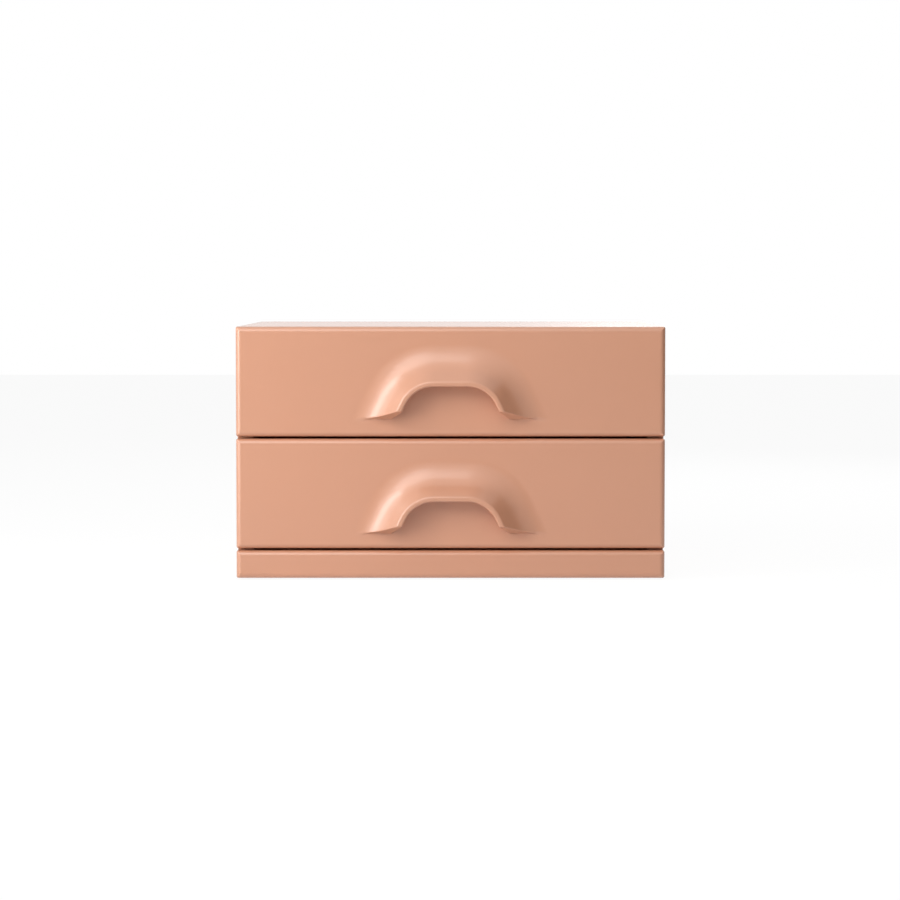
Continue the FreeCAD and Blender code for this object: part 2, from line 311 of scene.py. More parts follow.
@dataclass(frozen=True)
class Lacquer(Finish):
    """Sprayed satin lacquer under a clearer top coat, with a faint peel."""

    colour: Colour = (0.605, 0.28, 0.163)
    warm_tone: Colour = (1.006, 1.0, 0.992)
    cool_tone: Colour = (0.994, 1.0, 1.008)
    rough: Span = (0.48, 0.52)
    satin_level: float = 0.75
    top_coat: float = 0.22
    coarse_share: float = 0.7

    def paint(self, graph: Graph) -> None:
        """Colour with a trace of drift, and a peel of two sizes.

        Args:
            graph: the material's nodes.
        """
        at = graph.place()
        drift = graph.noise(at, scale=9.0).above(level=0.5, width=0.6)
        cool, warm = toned(self.colour, self.cool_tone), toned(self.colour, self.warm_tone)
        satin = graph.noise(at, scale=60.0)
        coarse = graph.noise(at, scale=240.0, detail=1.0)
        fine = graph.noise(at, scale=700.0, detail=0.0)
        peel = coarse * self.coarse_share + fine * (1.0 - self.coarse_share)
        graph.surface({
            "Base Color": graph.mix(drift, cool, warm),
            "Roughness": satin.between(*self.rough),
            "IOR": 1.5,
            "Specular IOR Level": self.satin_level,
            "Coat Weight": 1.0,
            "Coat IOR": 1.5,
            "Coat Roughness": self.top_coat,
            "Normal": graph.bump(peel, depth=0.004 * MM),
        })


@dataclass(frozen=True)
class Timber(Finish):
    """Clear-sealed wood with rings, fibres and pores along one axis."""

    grain: Grain = Grain.ALONG_Y
    pale: Colour = (0.70, 0.49, 0.29)
    deep: Colour = (0.50, 0.30, 0.15)
    across: str = "Z"
    ring_spacing: float = 7.0 * MM
    ring_share: float = 0.34
    heart_share: float = 0.26
    fibre_share: float = 0.4
    pore_share: float = 0.45
    pore_tone: float = 0.62
    rough: Span = (0.40, 0.54)

    def paint(self, graph: Graph) -> None:
        """Rings that wander along the board, streaked by fibres, with fine pores cut in.

        Args:
            graph: the material's nodes.
        """
        stretch = self.grain.value
        along = graph.place(stretch)
        fine = graph.place([s * s for s in stretch])
        # Bands at a scale of 1 lie pi / 10 apart.
        rings = graph.read(
            "ShaderNodeTexWave",
            {"wave_type": "BANDS", "bands_direction": self.across, "wave_profile": "SIN"},
            {
                "Vector": along,
                "Scale": math.pi / (10 * self.ring_spacing),
                "Distortion": 11.0,
                "Detail": 2.0,
                "Detail Scale": 0.6,
                "Detail Roughness": 0.55,
            },
        )
        heart = graph.noise(along, scale=22.0, detail=3.0, warp=0.6).above(level=0.5, width=0.5)
        fibres = graph.noise(fine, scale=900.0, detail=3.0)
        pores = graph.noise(fine, scale=2200.0, detail=1.0).above(level=0.66, width=0.08)
        tone = rings * self.ring_share + heart * self.heart_share + fibres * self.fibre_share
        wood = graph.mix(tone, self.pale, self.deep)
        pore = toned(self.deep, self.pore_tone)
        graph.surface({
            "Base Color": graph.mix(pores * self.pore_share, wood, pore),
            "Roughness": fibres.between(*self.rough),
            "IOR": 1.5,
            "Normal": graph.bump(fibres * 0.6 - pores, depth=0.06 * MM, strength=0.5),
        })


@dataclass(frozen=True)
class PaintedBoard(Finish):
    """Thin fibreboard with one thin coat of paint, its fine fibres showing."""

    colour: Colour = (0.60, 0.285, 0.175)
    dry_tone: float = 0.93
    blotch_share: float = 0.7
    rough: Span = (0.52, 0.67)

    def paint(self, graph: Graph) -> None:
        """Dull colour over pressed fibres.

        Args:
            graph: the material's nodes.
        """
        at = graph.place()
        fibres = graph.noise(at, scale=1500.0, detail=4.0, warp=1.2)
        blotch = graph.noise(at, scale=22.0, detail=3.0)
        tone = blotch * self.blotch_share + fibres * (1.0 - self.blotch_share)
        graph.surface({
            "Base Color": graph.mix(tone, toned(self.colour, self.dry_tone), self.colour),
            "Roughness": fibres.between(*self.rough),
            "Normal": graph.bump(fibres, depth=0.04 * MM, strength=0.6),
        })


@dataclass(frozen=True)
class CoatedSteel(Finish):
    """Folded steel under a white baked coating."""

    colour: Colour = (0.80, 0.79, 0.76)
    worn_tone: float = 0.88
    worn_share: float = 0.5
    rough: Span = (0.34, 0.46)

    def paint(self, graph: Graph) -> None:
        """Even coating with a close peel and faint rubbed streaks along the run.

        Args:
            graph: the material's nodes.
        """
        peel = graph.noise(graph.place(), scale=900.0)
        streaks = graph.noise(graph.place((1.0, 0.03, 1.0)), scale=1400.0)
        rubbed = streaks.above(level=0.62, width=0.2)
        worn = toned(self.colour, self.worn_tone)
        graph.surface({
            "Base Color": graph.mix(rubbed * self.worn_share, self.colour, worn),
            "Roughness": rubbed.between(*self.rough),
            "Normal": graph.bump(peel, depth=0.02 * MM, strength=0.6),
        })


@dataclass(frozen=True)
class ZincSteel(Finish):
    """Bright zinc plating over turned or pressed steel."""

    colour: Colour = (0.62, 0.63, 0.65)
    dull_tone: float = 0.72
    rough: Span = (0.24, 0.42)

    def paint(self, graph: Graph) -> None:
        """Cloudy plating with fine tool marks.

        Args:
            graph: the material's nodes.
        """
        cloud = graph.noise(graph.place(), scale=500.0, detail=3.0, warp=0.5)
        marks = graph.noise(graph.place((6.0, 1.0, 1.0)), scale=1800.0, detail=1.0)
        graph.surface({
            "Base Color": graph.mix(cloud, self.colour, toned(self.colour, self.dull_tone)),
            "Metallic": 1.0,
            "Roughness": cloud.between(*self.rough),
            "Normal": graph.bump(marks, depth=0.01 * MM, strength=0.5),
        })


@dataclass(frozen=True)
class Moulded(Finish):
    """Moulded plastic or rubber: even, slightly clouded, finely textured."""

    colour: Colour = (0.80, 0.79, 0.75)
    rough: Span = (0.38, 0.46)
    glow: float = 0.0
    cloud_tone: float = 0.95

    def paint(self, graph: Graph) -> None:
        """Even colour with faint flow clouds, and light that enters a little way.

        Args:
            graph: the material's nodes.
        """
        at = graph.place()
        cloud = graph.noise(at, scale=160.0, detail=3.0, warp=0.8)
        skin = graph.noise(at, scale=3000.0, detail=1.0)
        graph.surface({
            "Base Color": graph.mix(cloud, self.colour, toned(self.colour, self.cloud_tone)),
            "Roughness": skin.between(*self.rough),
            "Subsurface Weight": self.glow,
            "Subsurface Scale": 2.0 * MM,
            "Normal": graph.bump(skin, depth=0.01 * MM, strength=0.5),
        })


@dataclass(frozen=True)
class Felt(Finish):
    """Pressed felt with loose fibres."""

    colour: Colour = (0.30, 0.23, 0.18)
    light_tone: float = 1.6
    fibre_share: float = 0.7

    def paint(self, graph: Graph) -> None:
        """Mottled fibres with a soft sheen.

        Args:
            graph: the material's nodes.
        """
        at = graph.place()
        fibres = graph.noise(at, scale=1800.0, detail=6.0, warp=2.5)
        clumps = graph.noise(at, scale=300.0, detail=3.0)
        tone = fibres * self.fibre_share + clumps * (1.0 - self.fibre_share)
        graph.surface({
            "Base Color": graph.mix(tone, self.colour, toned(self.colour, self.light_tone)),
            "Roughness": 0.95,
            "Sheen Weight": 0.4,
            "Normal": graph.bump(fibres, depth=0.3 * MM, strength=0.9),
        })


@dataclass(frozen=True)
class MattCloth(Finish):
    """The cloth of the studio's curtain, without gloss."""

    dark: Colour = (0.10, 0.10, 0.10)
    light: Colour = (0.12, 0.12, 0.12)

    def paint(self, graph: Graph) -> None:
        """Faintly mottled grey."""
        grey = graph.mix(graph.noise(graph.place(), scale=40.0, detail=4.0), self.dark, self.light)
        graph.surface({"Base Color": grey, "Roughness": 1.0, "Specular IOR Level": 0.0})


@dataclass(frozen=True)
class PalePaper(Finish):
    """The paper of the studio's floor, which looks white and still takes a shadow."""

    dark: Colour = (0.86, 0.86, 0.86)
    light: Colour = (0.88, 0.88, 0.88)
    white_share: float = 0.9

    def paint(self, graph: Graph) -> None:
        """Matt paper, with plain white over most of it where it is seen.

        Args:
            graph: the material's nodes.
        """
        mottle = graph.noise(graph.place(), scale=40.0, detail=4.0)
        paper = {"Color": graph.mix(mottle, self.dark, self.light)}
        matt = graph.node("ShaderNodeBsdfDiffuse", {}, paper)
        white = graph.node("ShaderNodeEmission", {}, {"Color": WHITE, "Strength": 1.05})
        share = graph.seen() * self.white_share
        both = graph.node("ShaderNodeMixShader", {}, {})
        for source, socket in zip((share.socket, matt.outputs[0], white.outputs[0]), both.inputs):
            graph.tree.links.new(source, socket)
        graph.end(both)


LACQUER = Lacquer("peach_lacquer", "lacquer")
BACK_PAINT = PaintedBoard("painted_fibreboard", "back_board")
SIDE_TIMBER = Timber("drawer_side_timber", "drawer_board", Grain.ALONG_Y)
REAR_TIMBER = Timber("drawer_rear_timber", "drawer_board", Grain.ALONG_X)
BOTTOM_PLY = Timber(
    "drawer_bottom_ply",
    "drawer_bottom",
    Grain.ALONG_X,
    pale=(0.76, 0.60, 0.41),
    deep=(0.60, 0.42, 0.25),
    across="Y",
    ring_spacing=16.0 * MM,
)
BEECH = Timber("beech_tongue", "beech", Grain.ALONG_Y, (0.66, 0.45, 0.28), (0.55, 0.34, 0.19))
COATED_STEEL = CoatedSteel("coated_steel", "white_steel")
ZINC_STEEL = ZincSteel("zinc_steel", "zinc_steel")
NYLON = Moulded("nylon", "nylon", (0.82, 0.81, 0.77), (0.36, 0.44), glow=0.15)
SOFT_RUBBER = Moulded("soft_rubber", "soft_rubber", (0.76, 0.76, 0.73), (0.26, 0.34), glow=0.4)
FELT = Felt("felt", "felt")
CURTAIN_CLOTH = MattCloth("curtain_cloth")
STUDIO_PAPER = PalePaper("studio_paper")


def add_object(name: str, data: bpy.types.ID) -> bpy.types.Object:
    """Puts a new object in the scene.

    Args:
        name: the object's name.
        data: its mesh, lamp or camera.

    Returns:
        The object.
    """
    made = bpy.data.objects.new(name, data)
    bpy.context.scene.collection.objects.link(made)
    return made


def rounded_outline(corners: Sequence[Point], step: float) -> list[Span]:
    """Rounds the corners of an open or closed line.

    Args:
        corners: points (a, b, radius); a radius of 0 keeps the point, as at an open end.
        step: the largest turn between two points on an arc, in radians.

    Returns:
        The points along the rounded line.
    """
    points: list[Span] = []
    count = len(corners)
    for i, (a, b, radius) in enumerate(corners):
        if radius <= 0:
            points.append((a, b))
            continue
        corner = Vector((a, b))
        back = (Vector(corners[i - 1][:2]) - corner).normalized()
        ahead = (Vector(corners[(i + 1) % count][:2]) - corner).normalized()
        half = back.angle(ahead) / 2
        centre = corner + (back + ahead).normalized() * (radius / math.sin(half))
        start = corner + back * (radius / math.tan(half)) - centre
        turn = math.pi - 2 * half
        if back.x * ahead.y - back.y * ahead.x > 0:
            turn = -turn
        steps = max(2, math.ceil(abs(turn) / step))
        for k in range(steps + 1):
            t = turn * k / steps
            x = start.x * math.cos(t) - start.y * math.sin(t)
            y = start.x * math.sin(t) + start.y * math.cos(t)
            points.append((centre.x + x, centre.y + y))
    return points


class Form:
    """A mesh under construction, which ends as a piece that rides on a body."""

    def __init__(self) -> None:
        """Starts with an empty mesh."""
        self.mesh = bmesh.new()

    def ring(self, points: Iterable[Sequence[float]]) -> Row:
        """Adds a row of points."""
        return [self.mesh.verts.new(point) for point in points]

    def skin(self, rings: Sequence[Row], closed: bool = True) -> None:
        """Joins rows of equally many points with four-sided faces.

        Args:
            rings: the rows, in order.
            closed: whether each row runs back to its first point.
        """
        count = len(rings[0])
        for first, second in zip(rings, rings[1:]):
            for k in range(count if closed else count - 1):
                n = (k + 1) % count
                self.mesh.faces.new((first[k], first[n], second[n], second[k]))

    def cap(self, ring: Row) -> None:
        """Closes a flat row with one face."""
        self.mesh.faces.new(ring)

    def rim(self, ring: Row) -> list[bmesh.types.BMEdge]:
        """The edges along a closed row."""
        return [self.mesh.edges.get((ring[k - 1], ring[k])) for k in range(len(ring))]

    def weld(self) -> None:
        """Merges points in the same place and drops what that leaves without area."""
        bmesh.ops.remove_doubles(self.mesh, verts=self.mesh.verts, dist=SAME_POINT)
        bmesh.ops.dissolve_degenerate(self.mesh, edges=self.mesh.edges, dist=SAME_POINT)

    def fill(self, y: float) -> None:
        """Fills the flat gap inside the open edges at one depth, round any holes.

        Args:
            y: the depth.
        """
        flat = {v for v in self.mesh.verts if abs(v.co.y - y) < SAME_NODE_POINT}
        edges = [e for e in self.mesh.edges if e.is_boundary and flat.issuperset(e.verts)]
        bmesh.ops.triangle_fill(self.mesh, use_beauty=True, edges=edges)

    def turn(self, profile: Sequence[Span], base: Vector, axis: Vector, steps: int) -> None:
        """Turns a closed profile about an axis.

        Args:
            profile: points (distance along the axis, radius), in order.
            base: the point on the axis where the distance is 0.
            axis: the axis's direction, of length 1.
            steps: how many faces go round.
        """
        across = axis.orthogonal().normalized()
        other = axis.cross(across)
        rings = []
        for k in range(steps + 1):
            t = 2 * math.pi * k / steps
            out = across * math.cos(t) + other * math.sin(t)
            rings.append(self.ring([base + axis * a + out * r for a, r in profile]))
        self.skin(rings)

    def piece(
        self, name: str, body: str, finish: Finish, replaced: Sequence[str], sharp: float = 32.0
    ) -> None:
        """Makes the object, dresses it and fixes it to its body.

        Args:
            name: the piece's name.
            body: the moving or still body that it rides on.
            finish: what it is made of.
            replaced: the nodes that it stands for.
            sharp: the turn between faces, in degrees, from which an edge stays crisp.
        """
        self.weld()
        bmesh.ops.recalc_face_normals(self.mesh, faces=self.mesh.faces)
        data = bpy.data.meshes.new(name)
        self.mesh.to_mesh(data)
        self.mesh.free()
        data.shade_smooth()
        data.set_sharp_from_angle(angle=math.radians(sharp))
        data.materials.append(finish.material())
        made = add_object(name, data)
        weighted = made.modifiers.new("even_shading", "WEIGHTED_NORMAL")
        weighted.keep_sharp = True
        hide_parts(*replaced)
        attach(made, body)
        LOG.info("%s rides on %s", name, body)


class NodeForm(Form):
    """A form that starts with the shape of its node."""

    def __init__(self, node: str) -> None:
        """Copies the node's mesh and joins its faces at their corners.

        Args:
            node: the node that gives the shape.
        """
        super().__init__()
        self.mesh.from_mesh(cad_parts[node].data)
        bmesh.ops.remove_doubles(self.mesh, verts=self.mesh.verts, dist=SAME_NODE_POINT)

    def eased(self, width: float, steps: int = 2) -> "NodeForm":
        """Softens the outer edges as a maker would.

        Args:
            width: how far in from each outer edge the softening starts.
            steps: how many faces make each soft edge.

        Returns:
            The form itself.
        """
        mesh = self.mesh
        bmesh.ops.dissolve_limit(mesh, angle_limit=FLAT_TURN, verts=mesh.verts, edges=mesh.edges)
        outer = [
            edge
            for edge in mesh.edges
            if edge.is_manifold and edge.is_convex and edge.calc_face_angle(0.0) > EDGE_TURN
        ]
        bmesh.ops.bevel(
            mesh, geom=outer, offset=width, offset_type="OFFSET", segments=steps, profile=0.5,
            affect="EDGES", clamp_overlap=True,
        )
        return self

    def solids(self) -> list[tuple[Vector, Vector]]:
        """Measures each separate solid.

        Returns:
            The lowest and highest corner of each solid, in a fixed order.
        """
        left = set(self.mesh.verts)
        boxes = []
        while left:
            group, edge = set(), {left.pop()}
            while edge:
                group |= edge
                edge = {e.other_vert(v) for v in edge for e in v.link_edges} - group
            left -= group
            low = Vector([min(v.co[i] for v in group) for i in range(3)])
            high = Vector([max(v.co[i] for v in group) for i in range(3)])
            boxes.append((low, high))
        return sorted(boxes, key=lambda box: tuple(box[0]))


@dataclass(frozen=True)
class ArchHandle:
    """The ridge round the finger space, with its flared outer slope. Lengths in metres.

    A leg's end is rounded by end_round, and by up to end_fade more below fade_height. Its
    hollow starts hollow_start beyond the inner wall's foot and is full hollow_ramp further out.
    """

    rise: float = 20.0 * MM
    flat: float = 30.4 * MM
    corner: float = 29.6 * MM
    turn: float = math.radians(64.5)
    drop: float = 31.0 * MM
    end_rise: float = 7.9 * MM
    crest: float = 4.4 * MM
    inner_round: float = 1.8 * MM
    outer_round: float = 3.4 * MM
    undercut: float = math.radians(17.0)
    slope: float = math.radians(46.0)
    run_out: float = 37.0 * MM
    low_wall: Point = (0.4 * MM, 1.1 * MM, 2.5 * MM)
    end_round: float = 0.9 * MM
    end_fade: float = 34.0 * MM
    fade_height: float = 2.4 * MM
    hollow_start: float = 2.0 * MM
    hollow_ramp: float = 6.0 * MM
    end_steps: int = 6
    fine: float = math.radians(3.0)

    @property
    def slope_foot(self) -> float:
        """Where the straight slope would meet the face, out from the inner edge."""
        return self.crest + self.rise / math.tan(self.slope)

    @property
    def width(self) -> float:
        """From the inner edge to where the slope has run out."""
        return self.slope_foot + self.run_out * math.tan(self.slope / 2)

    def section(self) -> list[Span]:
        """The ridge's section.

        Returns:
            Points (out from the inner edge, above the face), from the inner wall's foot on.
        """
        lean = math.tan(self.undercut)
        start = self.inner_round * (1 - 1 / math.tan((math.pi / 2 - self.undercut) / 2))
        corners = [
            (start + self.rise * lean, 0.0, 0.0),
            (start, self.rise, self.inner_round),
            (self.crest, self.rise, self.outer_round),
            (self.slope_foot, 0.0, self.run_out),
            (self.width, 0.0, 0.0),
        ]
        foot, *rest = rounded_outline(corners, self.fine)[:-1]
        low_wall = [(foot[0] - above * lean, above) for above in self.low_wall]
        return [foot, *low_wall, *rest]

    def stations(self) -> list[Point]:
        """Where the section stands along the inner edge.

        Returns:
            Points (across, up from the edge's top, turn), from left to right.
        """
        steps = math.ceil(self.turn / self.fine)
        right = []
        for k in range(steps + 1):
            t = self.turn * k / steps
            across = self.flat / 2 + self.corner * math.sin(t)
            right.append((across, self.corner * (math.cos(t) - 1), t))
        left = [(-across, up, -t) for across, up, t in reversed(right)]
        return left + right

    def build(self, form: Form, face_y: float, edge_z: float) -> None:
        """Adds the ridge and its end faces to a form.

        Args:
            form: the form of the drawer front.
            face_y: where the face of the front lies.
            edge_z: the height of the inner edge's top.
        """
        section = self.section()
        rows = []
        for across, up, t in self.stations():
            points = []
            for out, above in section:
                x = across + out * math.sin(t)
                z = edge_z + up + out * math.cos(t)
                points.append((x, face_y - above, z))
            rows.append(form.ring(points))
        for side, row in ((Side.LEFT, rows[0]), (Side.RIGHT, rows[-1])):
            LegEnd(self, section, face_y, edge_z, side).build(form, row)
        form.skin(rows, closed=False)


@dataclass(frozen=True)
class LegEnd:
    """The end of one of the ridge's legs: a sloping face, rounded above and hollowed below."""

    arch: ArchHandle
    section: Sequence[Span]
    face_y: float
    edge_z: float
    side: Side

    @property
    def first(self) -> int:
        """Where the outer slope comes to lie beyond the inner wall's foot.

        Returns:
            The first such column of the section.
        """
        outs, heights = zip(*self.section)
        crest = heights.index(max(heights))
        return next(j for j in range(crest, len(outs)) if outs[j] > outs[0])

    def build(self, form: Form, start: Row) -> None:
        """Adds the leg's last stretch and its end.

        Args:
            form: the form of the drawer front.
            start: the ridge's points where the straight leg starts.
        """
        count = self.arch.end_steps
        first = self.first
        over = [form.ring(self._rounded(k / count)) for k in range(count + 1)]
        form.skin([start, *over], closed=False)
        brink = over[-1]
        columns = range(first, len(self.section))
        down = [brink[first:]]
        for k in range(count + 1):
            down.append(form.ring([self._hollowed(j, 1 - k / count) for j in columns]))
        form.skin(down, closed=False)
        form.cap([*brink[: first + 1], *(row[0] for row in down[1:])])

    def _radius(self, j: int) -> float:
        """The rounding's radius, larger where the slope has almost run out.

        Args:
            j: the column of the section.

        Returns:
            The radius.
        """
        if j < self.first:
            return self.arch.end_round
        low = max(0.0, 1 - self.section[j][1] / self.arch.fade_height)
        return self.arch.end_round + self.arch.end_fade * low * low

    def _turn(self, j: int) -> float:
        """How far the rounding turns at a column, which is less where the ridge is low."""
        return math.acos(max(0.0, 1 - self.section[j][1] / (2 * self._radius(j))))

    def _rounded(self, part: float) -> list[Point]:
        """A row of the upper rounding.

        Args:
            part: how far round the row lies, from the leg at 0 to the end face at 1.

        Returns:
            The row's points.
        """
        row = []
        last = len(self.section) - 1
        for j, (out, above) in enumerate(self.section):
            before, after = self.section[max(j - 1, 0)], self.section[min(j + 1, last)]
            tangent = Vector((after[0] - before[0], after[1] - before[1])).normalized()
            full = self._turn(j)
            radius = self._radius(j) if j >= self.first else min(self.arch.end_round, above)
            inward = radius * (1 - math.cos(full * part))
            back = radius * (math.sin(full) - math.sin(full * part))
            row.append(self._point(out + tangent.y * inward, above - tangent.x * inward, back))
        return row

    def _hollowed(self, j: int, part: float) -> Point:
        """A point of the hollow at the foot.

        Args:
            j: the column of the section.
            part: how far up the point lies, from the drawer's face at 0 to the end face at 1.

        Returns:
            The point.
        """
        out = self.section[j][0]
        beyond = out - self.section[0][0] - self.arch.hollow_start
        full = self._turn(j)
        radius = self._radius(j) * max(0.0, min(1.0, beyond / self.arch.hollow_ramp))
        height = radius * (1 - math.cos(full * part))
        back = radius * (math.sin(full * part) - math.sin(full))
        return self._point(out, height, back)

    def _point(self, out: float, above: float, back: float) -> Point:
        """A point near the end.

        Args:
            out: how far out from the inner edge.
            above: how far above the drawer's face.
            back: how far back along the leg from the end face.

        Returns:
            The point.
        """
        arch = self.arch
        sine, cosine = math.sin(arch.turn), math.cos(arch.turn)
        across = arch.flat / 2 + arch.corner * sine
        start_z = self.edge_z + arch.corner * (cosine - 1) + out * cosine
        end_z = self.edge_z - arch.drop + above * arch.end_rise / arch.rise
        run = (start_z - end_z) / sine - back
        x = self.side.value * (across + out * sine + run * cosine)
        return (x, self.face_y - above, start_z - run * sine)


@dataclass(frozen=True)
class FacingBoard:
    """A drawer front or the plinth: a board whose front edges are rounded and mitred."""

    node: str
    body: str
    arch_below: float | None = None
    face_y: float = -170.0 * MM
    edge_round: float = 5.0 * MM
    corner_round: float = 1.8 * MM
    mitre_round: float = 0.8 * MM
    corner_step: float = math.radians(15.0)
    steps: int = 12

    def build(self) -> None:
        """Makes the board, with its arch handle if it has one."""
        low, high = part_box(self.node)
        form = Form()
        rings = []
        for k in range(self.steps + 1):
            t = math.pi / 2 * k / self.steps
            inset = self.edge_round * (1 - math.sin(t))
            y = self.face_y + self.edge_round * (1 - math.cos(t))
            rings.append(form.ring(self._loop(low, high, inset, y)))
        rings.append(form.ring(self._loop(low, high, 0.0, high.y)))
        form.skin(rings)
        if self.arch_below is not None:
            handle = ArchHandle()
            spare = (handle.width - handle.drop) / 2
            edge_z = (low.z + high.z) / 2 - self.arch_below - spare
            handle.build(form, self.face_y, edge_z)
        form.weld()
        for y in (self.face_y, high.y):
            form.fill(y)
        form.piece(f"{self.node}_lacquered", self.body, LACQUER, [self.node], sharp=20.0)

    def _loop(self, low: Vector, high: Vector, inset: float, y: float) -> list[Vector]:
        """The board's outline at one depth, with its rounded corners.

        Args:
            low: the board's lowest corner.
            high: the board's highest corner.
            inset: how far inside the board's sides the outline runs.
            y: the depth.

        Returns:
            The outline's points.
        """
        radius = max(self.corner_round - inset, self.mitre_round)
        corners = (
            (high.x - inset, high.z - inset, radius),
            (low.x + inset, high.z - inset, radius),
            (low.x + inset, low.z + inset, radius),
            (high.x - inset, low.z + inset, radius),
        )
        return [Vector((x, y, z)) for x, z in rounded_outline(corners, self.corner_step)]


@dataclass(frozen=True)
class Roller:
    """A nylon roller with rounded rims and a recess in each face, and the pin it turns on."""

    level: Level
    side: Side
    end: str
    bore: float = 2.05 * MM
    hub: float = 3.9 * MM
    rim: float = 6.6 * MM
    recess: float = 0.7 * MM
    soft: float = 0.25 * MM
    edge: float = 0.5 * MM
    pin_radius: float = 2.0 * MM
    head_radius: float = 3.5 * MM
    head: float = 1.0 * MM
    head_round: float = 0.7 * MM
    side_gap: float = 0.2 * MM
    roller_step: float = math.radians(30.0)
    pin_step: float = math.radians(15.0)
    steps: int = 72

    @property
    def node(self) -> str:
        """The roller's node, which is also its body."""
        return f"{self.level.value}_{self.side.word}_{self.end}_roller"

    def build(self) -> None:
        """Makes the roller."""
        low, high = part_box(self.node)
        width, radius = high.x - low.x, (high.z - low.z) / 2
        half = [
            (0.0, self.bore, 0.0),
            (0.0, self.hub, self.soft),
            (self.recess, self.hub + self.soft, self.soft),
            (self.recess, self.rim - self.soft, self.soft),
            (0.0, self.rim, self.soft),
            (0.0, radius, self.edge),
        ]
        corners = half + [(width - along, out, bend) for along, out, bend in reversed(half)]
        profile = rounded_outline(corners, self.roller_step)
        centre = (low + high) / 2
        form = Form()
        form.turn(profile, Vector((low.x, centre.y, centre.z)), Vector((1, 0, 0)), self.steps)
        form.piece(f"{self.node}_turned", self.node, NYLON, [self.node], sharp=40.0)

    def add_pin(self, form: Form) -> None:
        """Adds the roller's headed pin to a form.

        Args:
            form: the form of all the pins on one body.
        """
        low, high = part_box(self.node)
        centre = (low + high) / 2
        inward = -self.side.value if self.end == "front" else self.side.value
        start = high.x if inward < 0 else low.x
        base = Vector((start - inward * self.side_gap, centre.y, centre.z))
        shank = (high.x - low.x) + 2 * self.side_gap
        corners = [
            (0.0, 0.0, 0.0),
            (0.0, self.pin_radius, 0.0),
            (shank, self.pin_radius, 0.0),
            (shank, self.head_radius, 0.0),
            (shank + self.head, self.head_radius, self.head_round),
            (shank + self.head, 0.0, 0.0),
        ]
        profile = rounded_outline(corners, self.pin_step)
        form.turn(profile, base, Vector((inward, 0, 0)), self.steps // 2)


@dataclass(frozen=True)
class Countersunk:
    """A group of countersunk cross-head screws, each where its node has one.

    The point's length and width are counted in radii of the shank.
    """

    node: str
    body: str
    heads_outward: bool
    head_depth: float = 1.2 * MM
    brim: float = 0.05 * MM
    tip_gap: float = 0.2 * MM
    point: Span = (1.5, 0.15)
    arm: float = 1.75 * MM
    arm_width: float = 0.42 * MM
    drive_depth: float = 0.9 * MM
    drive_taper: float = 0.55
    steps: int = 32

    def build(self) -> None:
        """Makes every screw of the group in one piece."""
        form = Form()
        node = NodeForm(self.node)
        for low, high in node.solids():
            self._add(form, low, high)
        node.mesh.free()
        form.weld()
        form.piece(f"{self.node}_cross_head", self.body, ZINC_STEEL, [self.node])

    def _add(self, form: Form, low: Vector, high: Vector) -> None:
        """Adds one screw.

        Args:
            form: the form of the group.
            low: the screw's lowest corner.
            high: the screw's highest corner.
        """
        outward = math.copysign(1.0, low.x + high.x)
        axis = -outward if self.heads_outward else outward
        centre = (low + high) / 2
        base = Vector((high.x if axis < 0 else low.x, centre.y, centre.z))
        head, length = (high.z - low.z) / 2, high.x - low.x
        shank = head - self.head_depth
        point_length, point_width = self.point
        profile = (
            (0.0, head - self.brim),
            (self.brim, head),
            (self.head_depth, shank),
            (length - shank * point_length, shank),
            (length - self.tip_gap, shank * point_width),
        )
        turns = [2 * math.pi * k / self.steps for k in range(self.steps)]
        rings = []
        for along, radius in profile:
            points = [(axis * along, radius * math.cos(t), radius * math.sin(t)) for t in turns]
            rings.append(form.ring([base + Vector(point) for point in points]))
        form.skin(rings)
        form.cap(rings[-1])
        self._drive(form, rings[0], base, axis)

    def _drive(self, form: Form, rim: Row, base: Vector, axis: float) -> None:
        """Closes the head with a cross sunk in its face.

        Args:
            form: the form of the group.
            rim: the points round the head's face.
            base: the middle of the head's face.
            axis: 1 or -1, the way that the screw points along X.
        """
        a, w = self.arm, self.arm_width
        cross = [
            (a, -w), (a, w), (w, w), (w, a), (-w, a), (-w, w),
            (-a, w), (-a, -w), (-w, -w), (-w, -a), (w, -a), (w, -w),
        ]
        depth, taper = axis * self.drive_depth, self.drive_taper
        mouth = form.ring([base + Vector((0.0, y, z)) for y, z in cross])
        floor = form.ring([base + Vector((depth, y * taper, z * taper)) for y, z in cross])
        form.skin([mouth, floor])
        form.cap(floor)
        edges = form.rim(mouth) + form.rim(rim)
        bmesh.ops.triangle_fill(form.mesh, use_beauty=True, edges=edges)


